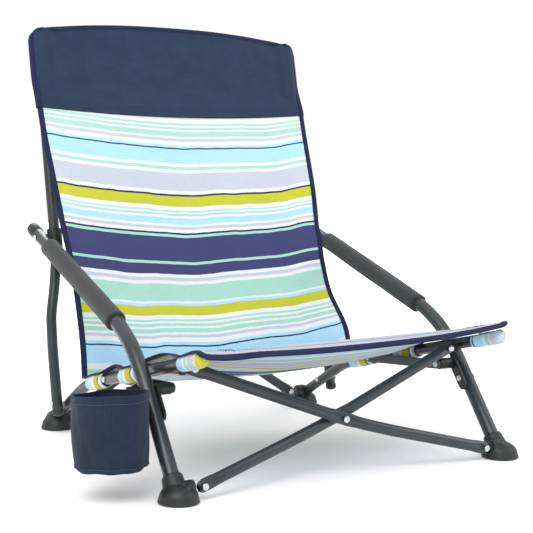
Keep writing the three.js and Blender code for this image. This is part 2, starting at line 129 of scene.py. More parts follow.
# floor: its colour, the distances where its glow starts and ends, and the glow's strength there
FLOOR_COLOUR = (0.98, 0.945, 0.95)
FLOOR_FADES = (0.9, 2.4)
# the first glow strength is painted light near the chair, lifting its shadow on the floor
FLOOR_GLOW = (0.085, 1.0)

# sky: height and grey of its two stops
SKY_STOPS = ((0.0, 0.61), (0.75, 1.12))

# lamps: name, place, size in metres and power in watts, and the place they all point at
LAMPS = (
    ("key", (-1.7, -1.5, 2.6), 2.2, 50),
    ("fill", (2.4, -1.6, 1.6), 1.6, 16),
    ("rim", (0.6, 2.6, 2.2), 1.4, 26),
)
LAMPS_AIM = (0, 0, 0.25)


# ---- places read from the frame ---------------------------------------------
def middle(node):
    low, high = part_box(node)
    return np.array((low + high) / 2)


def joint_place(name):
    return np.array(next(j["pos_m"] for j in frame["joints"] if j["name"] == name))


RAIL_X = (middle("rail_right")[0] - middle("rail_left")[0]) / 2
CENTRE_X = (middle("rail_right")[0] + middle("rail_left")[0]) / 2
UPRIGHT_FOOT = middle("upright_rivet_right") * (0, 1, 1)
UPRIGHT_TOP = middle("upright_top_cap_right") * (0, 1, 1)
UPRIGHT_RISE = UPRIGHT_TOP - UPRIGHT_FOOT
UPRIGHT_LENGTH = np.linalg.norm(UPRIGHT_RISE)
UPRIGHT_RISE = UPRIGHT_RISE / UPRIGHT_LENGTH
UPRIGHT_FRONT = np.cross(X, UPRIGHT_RISE) * (-1 if np.cross(X, UPRIGHT_RISE)[1] > 0 else 1)
RAIL_TIP = middle("rail_tip_cap_right")
LINK_PIVOT = joint_place("link_right_turn")


def rail_height(y):
    """Height of the rail's centre line in front of its bend."""
    share = (y - LINK_PIVOT[1]) / (RAIL_TIP[1] - LINK_PIVOT[1])
    return LINK_PIVOT[2] + share * (RAIL_TIP[2] - LINK_PIVOT[2])


def printed_length(count=None):
    """Length of cloth that the first stripes cover, or all of them."""
    return sum(width for _, width in STRIPES[:count]) * MM


# ---- small maths ---------------------------------------------------------------
def unit(v):
    v = np.asarray(v, float)
    return v / np.maximum(np.linalg.norm(v, axis=-1, keepdims=True), 1e-12)


def smooth_step(t):
    t = np.clip(t, 0, 1)
    return t * t * (3 - 2 * t)


def through(rows, t):
    """A smooth curve through the rows at the places t, from 0 to the last row's number."""
    rows = np.asarray(rows, float)
    padded = np.vstack([2 * rows[0] - rows[1], rows, 2 * rows[-1] - rows[-2]])
    i = np.clip(np.floor(t).astype(int), 0, len(rows) - 2)
    f = (np.asarray(t) - i)[:, None]
    a, b, c, d = (padded[i + k] for k in range(4))
    return 0.5 * (2 * b + (c - a) * f + (2 * a - 5 * b + 4 * c - d) * f**2 + (3 * b - a - 3 * c + d) * f**3)


def resample(points, step):
    points = np.asarray(points, float)
    lengths = np.r_[0, np.cumsum(np.linalg.norm(np.diff(points, axis=0), axis=1))]
    count = max(int(lengths[-1] / step), 4)
    at = np.linspace(0, lengths[-1], count + 1)
    return np.stack([np.interp(at, lengths, points[:, k]) for k in range(3)], axis=1)


def softened(points, times):
    points = points.copy()
    for _ in range(times):
        points[1:-1] = (points[:-2] + 2 * points[1:-1] + points[2:]) / 4
    return points


def ripple(x, y, seed):
    """Smooth noise from -1 to 1."""
    return noise.noise(Vector((x, y, seed)))


def ripples(x, y, seed):
    """Smooth noise over a grid, with a row for each y and a column for each x."""
    return np.array([[ripple(a, b, seed) for a in x] for b in y])


# ---- mesh makers -----------------------------------------------------------------
def make_piece(name, verts, faces, material, sharp=40):
    mesh = bpy.data.meshes.new(name)
    mesh.from_pydata([tuple(v) for v in verts], [], faces)
    mesh.validate()
    mesh.polygons.foreach_set("use_smooth", [True] * len(mesh.polygons))
    if sharp:
        mesh.set_sharp_from_angle(angle=math.radians(sharp))
    mesh.materials.append(material)
    piece = bpy.data.objects.new(name, mesh)
    bpy.context.scene.collection.objects.link(piece)
    return piece


def dress(piece, body, *nodes):
    """Puts a finished piece on its body and hides the CAD nodes that it stands for."""
    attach(piece, body)
    if nodes:
        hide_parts(*nodes)
    return piece


def add_part(name, form, material, body, *nodes, sharp=40):
    """Makes a piece of a form, its points and faces, and dresses it."""
    return dress(make_piece(name, *form, material, sharp), body, *nodes)


def ring_faces(rings, sides, first=0, closed_ends=True):
    faces = []
    for r in range(rings - 1):
        for s in range(sides):
            a, b = first + r * sides + s, first + r * sides + (s + 1) % sides
            faces.append((a, b, b + sides, a + sides))
    if closed_ends:
        faces.append(tuple(first + s for s in reversed(range(sides))))
        faces.append(tuple(first + (rings - 1) * sides + s for s in range(sides)))
    return faces


def sweep(path, side, half_a, half_b, sides=28):
    """A closed oval bar along a path. half_a lies along side, and half_b square to it."""
    path = np.asarray(path, float)
    run = unit(np.gradient(path, axis=0))
    a = unit(side - (run @ side)[:, None] * run)
    b = np.cross(run, a)
    half_a = np.broadcast_to(half_a, len(path))
    half_b = np.broadcast_to(half_b, len(path))
    angle = np.arange(sides) * 2 * math.pi / sides
    verts = (
        path[:, None]
        + a[:, None] * (half_a[:, None] * np.cos(angle))[:, :, None]
        + b[:, None] * (half_b[:, None] * np.sin(angle))[:, :, None]
    )
    return verts.reshape(-1, 3), ring_faces(len(path), sides)


def lathe(profile, origin, axis, sides=40):
    """A closed turned form: profile is (radius, height) from one end of the axis to the other."""
    axis = unit(axis)
    helper = Z if abs(axis[2]) < 0.9 else Y
    a = unit(np.cross(axis, helper))
    b = np.cross(axis, a)
    angle = np.arange(sides) * 2 * math.pi / sides
    ring = np.cos(angle)[:, None] * a + np.sin(angle)[:, None] * b
    verts = np.concatenate([np.asarray(origin) + axis * h + ring * max(r, 1e-5) for r, h in profile])
    return verts, ring_faces(len(profile), sides)


def joined(*forms):
    verts, faces, first = [], [], 0
    for form_verts, form_faces in forms:
        verts.append(np.asarray(form_verts))
        faces += [tuple(first + i for i in face) for face in form_faces]
        first += len(form_verts)
    return np.concatenate(verts), faces


def applied(piece):
    """Bakes a piece's modifiers into its mesh."""
    graph = bpy.context.evaluated_depsgraph_get()
    mesh = bpy.data.meshes.new_from_object(
        piece.evaluated_get(graph), preserve_all_data_layers=True, depsgraph=graph
    )
    piece.modifiers.clear()
    piece.data = mesh
    return piece


def moulded(name, material, voxel, smoothing, *forms):
    """Closed forms melted into one moulded body with soft inner corners."""
    piece = make_piece(name, *joined(*forms), material)
    remesh = piece.modifiers.new("melt", "REMESH")
    remesh.mode = "VOXEL"
    remesh.voxel_size = voxel
    smooth = piece.modifiers.new("soften", "CORRECTIVE_SMOOTH")
    smooth.iterations = smoothing
    smooth.use_only_smooth = True
    applied(piece)
    piece.data.materials.clear()
    piece.data.materials.append(material)
    piece.data.polygons.foreach_set("use_smooth", [True] * len(piece.data.polygons))
    return piece


# ---- materials -----------------------------------------------------------------------
class Nodes:
    """A short way to write a node tree."""

    def __init__(self, name):
        self.material = bpy.data.materials.new(name)
        self.material.use_nodes = True
        self.tree = self.material.node_tree
        self.shader = self.tree.nodes["Principled BSDF"]

    def add(self, kind, values=(), **settings):
        node = self.tree.nodes.new(kind)
        for key, value in settings.items():
            setattr(node, key, value)
        for socket, value in dict(values).items():
            self.put(node.inputs[socket], value)
        return node

    def put(self, socket, value):
        if isinstance(value, bpy.types.NodeSocket):
            self.tree.links.new(value, socket)
        elif hasattr(value, "__len__") and len(value) == 3 and socket.type == "RGBA":
            socket.default_value = (*value, 1)
        else:
            socket.default_value = value

    def surface(self, **values):
        for key, value in values.items():
            self.put(self.shader.inputs[key.replace("_", " ")], value)

    def noise(self, vector, scale, detail=3, rough=0.5):
        values = {"Vector": vector, "Scale": scale, "Detail": detail, "Roughness": rough}
        return self.add("ShaderNodeTexNoise", values).outputs["Fac"]

    def math(self, operation, a, b=0.0):
        return self.add("ShaderNodeMath", {0: a, 1: b}, operation=operation).outputs[0]

    def remap(self, value, low, high, new_low, new_high):
        names = ("Value", "From Min", "From Max", "To Min", "To Max")
        values = dict(zip(names, (value, low, high, new_low, new_high)))
        return self.add("ShaderNodeMapRange", values).outputs["Result"]

    def mix(self, share, a, b, kind="MIX"):
        node = self.add("ShaderNodeMix", data_type="RGBA", blend_type=kind)
        self.put(node.inputs["Factor"], share)
        self.put(node.inputs[6], a)
        self.put(node.inputs[7], b)
        return node.outputs[2]

    def bump(self, height, strength, distance, under=None):
        values = {"Height": height, "Strength": strength, "Distance": distance}
        node = self.add("ShaderNodeBump", values)
        if under is not None:
            self.put(node.inputs["Normal"], under)
        return node.outputs["Normal"]

    def place(self):
        return self.add("ShaderNodeTexCoord").outputs["Object"]

    def attribute(self, name):
        return self.add("ShaderNodeAttribute", attribute_name=name).outputs


def powder_coat():
    n = Nodes("powder_coat_steel")
    place = n.place()
    grain = n.noise(place, 1400, 2)
    cloud = n.noise(place, 22, 4)
    scuff = n.remap(n.noise(place, 95, 6, 0.7), 0.62, 0.74, 0.0, 1.0)
    colour = n.mix(n.remap(cloud, 0.3, 0.7, 0, 1), (0.030, 0.036, 0.039), (0.046, 0.054, 0.058))
    colour = n.mix(n.math("MULTIPLY", scuff, 0.22), colour, (0.13, 0.145, 0.15))
    n.surface(
        Base_Color=colour,
        Metallic=0.45,
        Roughness=n.remap(n.math("ADD", grain, scuff), 0.3, 1.6, 0.27, 0.48),
        Coat_Weight=0.25,
        Coat_Roughness=0.22,
        Normal=n.bump(grain, 0.16, 0.00025),
    )
    return n.material


def black_plastic():
    n = Nodes("moulded_black_plastic")
    place = n.place()
    grain = n.noise(place, 900, 3, 0.6)
    cloud = n.noise(place, 30, 3)
    n.surface(
        Base_Color=n.mix(cloud, (0.010, 0.013, 0.012), (0.021, 0.025, 0.024)),
        Roughness=n.remap(cloud, 0.3, 0.7, 0.36, 0.52),
        Specular_IOR_Level=0.45,
        Normal=n.bump(grain, 0.22, 0.0003),
    )
    return n.material


def foam():
    n = Nodes("closed_cell_foam")
    place = n.place()
    cells = n.add("ShaderNodeTexVoronoi", {"Vector": place, "Scale": 620}).outputs["Distance"]
    soft = n.noise(place, 240, 5, 0.65)
    wear = n.noise(place, 14, 4)
    colour = n.mix(cells, (0.012, 0.013, 0.014), (0.034, 0.036, 0.038))
    colour = n.mix(n.remap(wear, 0.45, 0.75, 0, 0.35), colour, (0.048, 0.050, 0.052))
    n.surface(
        Base_Color=colour,
        Roughness=0.96,
        Specular_IOR_Level=0.25,
        Sheen_Weight=0.18,
        Sheen_Roughness=0.6,
        Normal=n.bump(n.math("ADD", cells, soft), 0.55, 0.0007),
    )
    return n.material


def rivet_steel():
    n = Nodes("plated_rivet_steel")
    place = n.place()
    turned = n.noise(place, 700, 3, 0.7)
    n.surface(
        Base_Color=n.mix(turned, (0.52, 0.53, 0.54), (0.74, 0.75, 0.76)),
        Metallic=1.0,
        Roughness=n.remap(turned, 0.3, 0.7, 0.2, 0.36),
        Normal=n.bump(turned, 0.12, 0.0002),
    )
    return n.material


def weave(n, across, along, pitch):
    """Height of a plain weave: threads over and under each other, in the cloth's own coordinates."""
    a = n.math("SINE", n.math("MULTIPLY", across, 2 * math.pi / pitch))
    b = n.math("SINE", n.math("MULTIPLY", along, 2 * math.pi / pitch))
    return n.remap(n.math("MULTIPLY", a, b), -1, 1, 0, 1)


def cloth_finish(n, colour, height, wrinkle, rough=0.86, strength=0.35):
    soft = n.bump(wrinkle, 0.30, 0.0022)
    n.surface(
        Base_Color=colour,
        Roughness=rough,
        Specular_IOR_Level=0.22,
        Sheen_Weight=0.08,
        Sheen_Roughness=0.5,
        Normal=n.bump(height, strength, 0.00035, soft),
    )


def plain_cloth(name, base, pitch=1.1 * MM, streak=0.5):
    """Navy polyester canvas: a fine weave, heathered threads and soft creases, with painted shade in the creases'
    dips.
    """
    n = Nodes(name)
    place = n.place()
    x, y, z = n.add("ShaderNodeSeparateXYZ", {"Vector": place}).outputs
    around = n.math("ADD", x, y)
    long_threads = n.add("ShaderNodeMapping", {"Vector": place, "Scale": (900, 900, 60)}).outputs[0]
    cross_threads = n.add("ShaderNodeMapping", {"Vector": place, "Scale": (60, 60, 900)}).outputs[0]
    heather = n.math("ADD", n.noise(long_threads, 1, 2), n.noise(cross_threads, 1, 2))
    crease_height_and_shade = n.noise(place, 26, 5, 0.6)
    crease_shade_colour = tuple(c * 0.62 for c in base)
    light = tuple(min(1, c * 1.5 + 0.006) for c in base)
    colour = n.mix(n.remap(heather, 0.7, 1.3, 0, streak), base, light)
    # painted shade: darker where the crease noise is low, in the dips of the soft creases
    colour = n.mix(n.remap(crease_height_and_shade, 0.35, 0.7, 0.45, 0.0), colour, crease_shade_colour)
    cloth_finish(n, colour, weave(n, around, z, pitch), crease_height_and_shade)
    return n.material


def striped_cloth():
    """Woven cloth with printed stripes: attribute stripe is the distance along the cloth in metres."""
    n = Nodes("striped_canvas")
    along = n.attribute("stripe")["Fac"]
    across = n.attribute("across")["Fac"]
    place = n.place()
    wander = n.noise(place, 38, 3)
    printed = n.math("ADD", along, n.remap(wander, 0, 1, -0.0011, 0.0011))
    colour, limit, edge = None, 30, 0.0
    for first in range(0, len(STRIPES), limit):
        group = STRIPES[first : first + limit]
        start, length = edge, sum(width for _, width in group) * MM
        if first + limit >= len(STRIPES):
            group, length = group + (FRONT_BAND,), length + FRONT_BAND[1] * MM
        ramp = n.add("ShaderNodeValToRGB", {0: n.remap(printed, start, start + length, 0, 1)})
        ramp.color_ramp.interpolation = "CONSTANT"
        here = 0.0
        for k, (tint, width) in enumerate(group):
            stops = ramp.color_ramp.elements
            stop = stops[k] if k < 2 else stops.new(min(here / length, 1))
            stop.position = min(here / length, 1)
            stop.color = (*STRIPE_COLOURS[tint], 1)
            here += width * MM
        edge += here
        ramp_colour = ramp.outputs["Color"]
        past = n.math("GREATER_THAN", printed, start)
        colour = ramp_colour if colour is None else n.mix(past, colour, ramp_colour)
    threads = n.add("ShaderNodeCombineXYZ", {"X": across, "Y": along}).outputs[0]
    warp = n.add("ShaderNodeMapping", {"Vector": threads, "Scale": (1100, 55, 1)}).outputs[0]
    weft = n.add("ShaderNodeMapping", {"Vector": threads, "Scale": (55, 1100, 1)}).outputs[0]
    heather = n.math("ADD", n.noise(warp, 1, 2), n.noise(weft, 1, 2))
    crease_height_and_shade = n.noise(place, 18, 4, 0.55)
    colour = n.mix(n.remap(heather, 0.75, 1.3, 0.0, 0.16), colour, (0.30, 0.36, 0.46), "MULTIPLY")
    # painted shade: darker where the crease noise is low, in the dips of the soft creases
    colour = n.mix(n.remap(crease_height_and_shade, 0.35, 0.7, 0.10, 0.0), colour, (0.55, 0.60, 0.70), "MULTIPLY")
    cloth_finish(n, colour, weave(n, across, along, 1.3 * MM), crease_height_and_shade, 0.82)
    return n.material


def thread(name, colour):
    n = Nodes(name)
    twist = n.noise(n.place(), 1500, 2)
    n.surface(
        Base_Color=n.mix(twist, tuple(c * 0.7 for c in colour), colour),
        Roughness=0.7,
        Normal=n.bump(twist, 0.3, 0.0002),
    )
    return n.material


COAT = powder_coat()
PLASTIC = black_plastic()
FOAM = foam()
STEEL = rivet_steel()
STRIPED = striped_cloth()
NAVY = plain_cloth("navy_canvas", NAVY_CLOTH)
TAPE = plain_cloth("navy_binding_tape", NAVY_TAPE, 0.9 * MM, 0.35)
CUP = plain_cloth("navy_pouch_canvas", CUP_CLOTH, 1.2 * MM, 0.8)
THREAD_DARK = thread("navy_thread", (0.012, 0.020, 0.05))
THREAD_GREY = thread("slate_thread", (0.06, 0.09, 0.17))


# ---- tubes ---------------------------------------------------------------------------
def centre_line(node, axis, radius, step=4 * MM):
    """Middle line of a CAD tube, from slices square to one axis, carried on to both cut ends."""
    mesh = frame["nodes"][node].data
    verts = np.array([v.co for v in mesh.vertices])
    a, b = verts[[e.vertices[0] for e in mesh.edges]], verts[[e.vertices[1] for e in mesh.edges]]
    low, high = verts[:, axis].min(), verts[:, axis].max()
    margin = 1.5 * radius
    line = []
    for level in np.linspace(low + margin, high - margin, 70):
        cut = (a[:, axis] - level) * (b[:, axis] - level) < 0
        share = (level - a[cut, axis]) / (b[cut, axis] - a[cut, axis])
        crossings = a[cut] + share[:, None] * (b[cut] - a[cut])
        line.append((crossings.min(axis=0) + crossings.max(axis=0)) / 2)
    line = np.array(line)
    ends = []
    for tip, inner, limit in ((line[0], line[4], low), (line[-1], line[-5], high)):
        run = unit(tip - inner)
        spread = radius * math.sqrt(max(0.0, 1 - run[axis] ** 2))
        reach = (abs(limit - tip[axis]) - spread) / abs(run[axis])
        ends.append(tip + run * max(reach, 0))
    return softened(resample([ends[0], *line, ends[1]], step), 6)


def build_tubes():
    for side, _ in SIDES:
        for tube, body, axis, radius, sides in (
            ("leg_arm", "leg", 1, LEG_RADIUS, 36),
            ("rail", "rail", 1, RAIL_RADIUS, 32),
            ("upright", "upright", 2, RAIL_RADIUS, 32),
        ):
            node = f"{tube}_{side}"
            form = sweep(centre_line(node, axis, radius), X, radius, radius, sides)
            add_part(f"{tube}_tube_{side}", form, COAT, f"{body}_{side}", node)
        for end in ("front", "rear"):
            build_brace(f"{end}_brace_{side}")


def build_brace(node):
    """An oval tube, pressed flatter where its rivets go through."""
    path = centre_line(node, 0, BRACE_TALL, 3 * MM)
    pivots = [middle(f"{node}_near_rivet"), middle(f"{node}_far_rivet")]
    pivots.append(path[np.argmin(np.abs(path[:, 0] - CENTRE_X))])
    near = np.min([np.linalg.norm((path - p)[:, [0, 2]], axis=1) for p in pivots], axis=0)
    open_share = smooth_step((near - 0.35 * BRACE_PRESS_LENGTH) / (0.65 * BRACE_PRESS_LENGTH))
    thin = BRACE_PRESSED + (BRACE_THIN - BRACE_PRESSED) * open_share
    tall = BRACE_TALL * (1.12 - 0.12 * open_share)
    rounding = np.ones(len(path))
    for k, share in enumerate((0.62, 0.86, 0.97)):
        rounding[k] = rounding[-1 - k] = share
    add_part(f"{node}_tube", sweep(path, Y, thin, tall * rounding, 32), COAT, node, node)


# ---- rivets, caps and feet ---------------------------------------------------------------
def rivet_form(node):
    low, high = (np.array(c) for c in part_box(node))
    size = high - low
    axis = int(np.argmax(size))
    length, radius = size[axis], np.delete(size, axis).max() / 2
    origin = (low + high) / 2 - np.eye(3)[axis] * length / 2
    head = 2.2 * MM
    dome = [
        (0.0, 0.25), (0.18, 0.22), (0.26, 0.04), (0.50, 0.0),
        (0.74, 0.12), (0.90, 0.38), (1.0, 0.72), (1.0, 1.0),
    ]
    near = [(radius * r, head * h) for r, h in dome]
    far = [(radius * r, length - head * h) for r, h in reversed(dome)]
    shaft = 0.48 * radius
    return lathe([*near, (shaft, head), (shaft, length - head), *far], origin, np.eye(3)[axis], 28)


def build_rivets():
    for body, nodes in frame["record"]["behaviour"]["bodies"].items():
        for node in nodes:
            fastener = node.endswith(("rivet", "rivet_left", "rivet_right"))
            if fastener or "_pin_" in node or "_screw_" in node:
                add_part(f"{node}_head", rivet_form(node), STEEL, body, node, sharp=50)


def cap_form(node, towards, radius, tail):
    """A domed plastic end cap with a small collar, over the end of a tube."""
    centre = middle(node)
    rim = radius + 0.6 * MM
    profile = [(0, -tail), (rim * 0.96, -tail), (rim, -tail + 0.7 * MM), (rim, 1.5 * MM)]
    for k in range(1, 9):
        angle = k * math.pi / 16
        profile.append((rim * math.cos(angle), 1.5 * MM + 5 * MM * math.sin(angle)))
    return lathe(profile, centre, towards)


def build_caps():
    for side, _ in SIDES:
        arm = unit(middle(f"arm_end_cap_{side}") - middle(f"arm_foam_{side}"))
        arm = unit(arm * (0, 1, 1))
        cap = cap_form(f"arm_end_cap_{side}", arm, LEG_RADIUS, 24 * MM)
        add_part(f"arm_cap_{side}", cap, PLASTIC, f"leg_{side}", f"arm_end_cap_{side}")
        tip = unit((RAIL_TIP - LINK_PIVOT) * (0, 1, 1))
        cap = cap_form(f"rail_tip_cap_{side}", tip, RAIL_RADIUS, 9 * MM)
        add_part(f"rail_cap_{side}", cap, PLASTIC, f"rail_{side}", f"rail_tip_cap_{side}")
        ends = {f"upright_foot_cap_{side}": -UPRIGHT_RISE, f"upright_top_cap_{side}": UPRIGHT_RISE}
        caps = joined(*(cap_form(node, rise, RAIL_RADIUS, 5 * MM) for node, rise in ends.items()))
        add_part(f"upright_caps_{side}", caps, PLASTIC, f"upright_{side}", *ends)


def foot_forms(base, tube_point, tube_run, tube_radius, knuckle, sign):
    """A flared sole, a dome, a sleeve round the tube and an ear that carries the brace."""
    sole = [(0, 0), (24.5, 0), (26, 0.8), (26, 4), (25.2, 5.2), (24.6, 7)]
    dome = [(24.6 * math.cos(a), 7 + 19 * math.sin(a)) for a in np.linspace(0.12, 1.5, 9)]
    body = lathe([(r * MM, h * MM) for r, h in sole + dome], base, Z, 56)
    outer = np.sign(body[0][:, 0] - base[0]) == sign
    body[0][:, 1] = base[1] + (body[0][:, 1] - base[1]) * 1.14
    body[0][outer, 0] = base[0] + (body[0][outer, 0] - base[0]) * 1.16
    sleeve_radius = tube_radius + 4.2 * MM
    sleeve_profile = [(0, -6), (1.15, -6), (1, 8), (0.97, 15), (0.9, 16.5), (0, 16.5)]
    sleeve = lathe([(sleeve_radius * r, h * MM) for r, h in sleeve_profile], tube_point, tube_run, 44)
    root = knuckle * (0, 1, 1) + np.array([base[0], 0, 0])
    ear_path = np.linspace(root, knuckle + np.array([sign * 14 * MM, 0, 0]), 8)
    ear = sweep(ear_path, Y, 9.5 * MM, 10.5 * MM, 30)
    rib_path = [base + np.array(p) * MM for p in
                ((sign * 17, -17, 6), (sign * 5, -19, 17), (-sign * 9, -13, 25), (-sign * 16, -4, 27))]
    rib = sweep(softened(resample(rib_path, 2 * MM), 4), Z, 3 * MM, 3 * MM, 14)
    return body, sleeve, ear, rib


def build_feet():
    for side, sign in SIDES:
        other = "left" if sign > 0 else "right"
        leg_line = centre_line(f"leg_arm_{side}", 1, LEG_RADIUS)
        rail_line = centre_line(f"rail_{side}", 1, RAIL_RADIUS)[::-1]
        for end, body, line, radius, rivet in (
            ("front", "leg", leg_line, LEG_RADIUS, f"front_brace_{other}_far_rivet"),
            ("rear", "rail", rail_line, RAIL_RADIUS, f"rear_brace_{side}_near_rivet"),
        ):
            low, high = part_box(f"{end}_foot_{side}")
            x = high[0] - FOOT_RADIUS if sign > 0 else low[0] + FOOT_RADIUS
            y = low[1] + FOOT_RADIUS if end == "front" else high[1] - FOOT_RADIUS
            run = unit(line[4] - line[0])
            forms = foot_forms(np.array([x, y, low[2]]), line[0], run, radius, middle(rivet), sign)
            piece = moulded(f"{end}_foot_shell_{side}", PLASTIC, 1.1 * MM, 6, *forms)
            dress(piece, f"{body}_{side}", f"{end}_foot_{side}")


def build_brackets():
    """CAD pieces whose shape is right keep it, with moulded edges and their own finish."""
    for side, _ in SIDES:
        for part, material in (
            ("leg_bracket", PLASTIC), ("collar", PLASTIC), ("brace_knuckle", PLASTIC), ("link", COAT),
        ):
            shown = frame["nodes"][f"{part}_{side}"]
            shown.data.materials.clear()
            shown.data.materials.append(material)
            weld = shown.modifiers.new("weld", "WELD")
            weld.merge_threshold = 0.02 * MM
            bevel = shown.modifiers.new("edges", "BEVEL")
            bevel.width = 0.7 * MM
            bevel.segments = 2
            bevel.angle_limit = math.radians(38)
            smooth = shown.modifiers.new("shade", "WEIGHTED_NORMAL")
            smooth.keep_sharp = True
            shown.data.polygons.foreach_set("use_smooth", [True] * len(shown.data.polygons))


def build_grips():
    for side, sign in SIDES:
        low, high = (np.array(c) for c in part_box(f"arm_foam_{side}"))
        radius = (high[0] - low[0]) / 2
        run = unit((middle(f"arm_end_cap_{side}") - middle(f"arm_foam_{side}")) * (0, 1, 1))
        half = (high[1] - low[1] - 2 * radius * run[2]) / run[1] / 2
        bore = LEG_RADIUS + 0.2 * MM
        stations = np.linspace(-half, half, 120)
        edge = np.minimum(stations + half, half - stations)
        lip = 3.2 * MM
        rounded = radius - lip + np.sqrt(np.clip(lip**2 - np.clip(lip - edge, 0, lip) ** 2, 0, None))
        profile = [(bore, -half), *zip(rounded, stations), (bore, half)]
        verts, faces = lathe(profile, middle(f"arm_foam_{side}"), run, 64)
        centre = middle(f"arm_foam_{side}")
        for i, v in enumerate(verts):
            along = (v - centre) @ run
            away = v - centre - along * run
            swell = ripple(along * 22, math.atan2(away[2], away[0]) * 1.3, 3.7 + sign) * 0.45 * MM
            verts[i] = v + unit(away) * swell
        form = (verts, faces)
        grip = add_part(f"foam_grip_{side}", form, FOAM, f"leg_{side}", f"arm_foam_{side}", sharp=60)


# ---- cloth -----------------------------------------------------------------------------
def grid_piece(name, places, material, stripe=None, across=None):
    """A sheet from a grid of places, rows by columns, with the cloth's own coordinates."""
    rows, columns = places.shape[:2]
    faces = [
        (r * columns + c, r * columns + c + 1, (r + 1) * columns + c + 1, (r + 1) * columns + c)
        for r in range(rows - 1)
        for c in range(columns - 1)
    ]
    piece = make_piece(name, places.reshape(-1, 3), faces, material, sharp=0)
    for label, values in (("stripe", stripe), ("across", across)):
        if values is not None:
            piece.data.attributes.new(label, "FLOAT", "POINT").data.foreach_set("value", values.ravel())
    return piece


def thicken(piece, thickness=CLOTH):
    solid = piece.modifiers.new("cloth", "SOLIDIFY")
    solid.thickness = thickness
    solid.offset = 0
    return piece


def settle(piece, held, frames, slack, cap, stiffness=18):
    """Lets the cloth hang from its held points with a little slack, no point moving further than cap."""
    start = grid_points(piece, held.shape)
    group = piece.vertex_groups.new(name="held")
    group.add([int(i) for i in np.flatnonzero(held.ravel())], 1.0, "REPLACE")
    cloth = piece.modifiers.new("hang", "CLOTH")
    settings = cloth.settings
    settings.quality = 7
    settings.mass = 0.18
    settings.tension_stiffness = settings.compression_stiffness = stiffness
    settings.shear_stiffness = stiffness / 2
    settings.bending_stiffness = 0.35
    settings.air_damping = 6
    settings.shrink_min = -slack
    settings.vertex_group_mass = "held"
    cloth.collision_settings.use_collision = False
    cloth.collision_settings.use_self_collision = False
    for number in range(1, frames + 1):
        bpy.context.scene.frame_set(number)
    applied(piece)
    bpy.context.scene.frame_set(1)
    piece.vertex_groups.clear()
    moved = grid_points(piece, held.shape) - start
    rows, columns = (np.minimum(np.arange(n), np.arange(n)[::-1]) for n in held.shape)
    free = smooth_step((np.minimum(rows[:, None], columns[None]) - 8) / 12)[:, :, None]
    distance = np.linalg.norm(moved, axis=2, keepdims=True)
    place = start + moved * free * cap / (cap + distance)
    piece.data.vertices.foreach_set("co", place.ravel())
    piece.data.update()


def grid_points(piece, shape):
    return np.array([v.co for v in piece.data.vertices]).reshape(*shape, 3)


def tape(path, inward, width=TAPE_WIDTH, thick=TAPE_THICK):
    """A folded binding tape round a cloth edge. inward points from the edge into the cloth."""
    path, inward = np.asarray(path), unit(inward)
    run = unit(np.gradient(path, axis=0))
    inward = unit(inward - np.sum(inward * run, axis=1)[:, None] * run)
    up = np.cross(run, inward)
    outline = [
        (-0.9 * MM, 0.25), (-0.2 * MM, 0.46), (0.35 * width, 0.5), (0.85 * width, 0.5), (width, 0.38),
        (width, -0.38), (0.85 * width, -0.5), (0.35 * width, -0.5), (-0.2 * MM, -0.46), (-0.9 * MM, -0.25),
    ]
    verts = np.stack([path + inward * a + up * b * thick for a, b in outline], axis=1)
    for r in range(len(path)):
        pucker = 0.35 * MM * ripple(r * 0.55, 0.3, 8.1)
        verts[r, 2:8] += inward[r] * pucker
    return verts.reshape(-1, 3), ring_faces(len(path), len(outline))


def stitches(path, normals, length=2.6 * MM, gap=1.4 * MM, lift=0.55 * MM, thick=0.4 * MM):
    """A row of short raised thread stitches on a surface."""
    fine = resample(path, 0.7 * MM)
    lengths = np.arange(len(fine)) * np.linalg.norm(fine[1] - fine[0])
    source = np.linspace(0, len(fine) - 1, len(normals))
    normals = np.stack([np.interp(np.arange(len(fine)), source, normals[:, k]) for k in range(3)], axis=1)
    forms = []
    start = 0.0
    while start + length < lengths[-1]:
        i, j = np.searchsorted(lengths, (start, start + length))
        a, b = fine[i], fine[j]
        up = unit(normals[i])
        bow = np.array([a, a * 0.75 + b * 0.25, a * 0.25 + b * 0.75, b])
        bow = bow + up * np.array([[0.0], [lift], [lift], [0.0]])
        forms.append(sweep(bow, up, 0.8 * thick, thick, 6))
        start += length + gap
    return joined(*forms)


def surface_normals(points):
    down = np.gradient(points, axis=0)
    side = np.gradient(points, axis=1)
    return unit(np.cross(side, down))


def back_edge(t):
    """BACK_EDGE at the places t, from 0 in the crease to 1 at the header."""
    return through(BACK_EDGE, t * (len(BACK_EDGE) - 1))


def crease_row(u):
    """The line where seat and back meet: on the rails at its ends, and lower between them."""
    share, front, half = BACK_EDGE[0]
    place = UPRIGHT_FOOT + UPRIGHT_RISE * share * UPRIGHT_LENGTH + UPRIGHT_FRONT * front
    sag = (1 - np.abs(u) ** 2.4)
    points = np.tile(place, (len(u), 1))
    points[:, 0] = CENTRE_X + u * half
    points[:, 1] += 14 * MM * sag
    points[:, 2] -= 19 * MM * sag
    return points


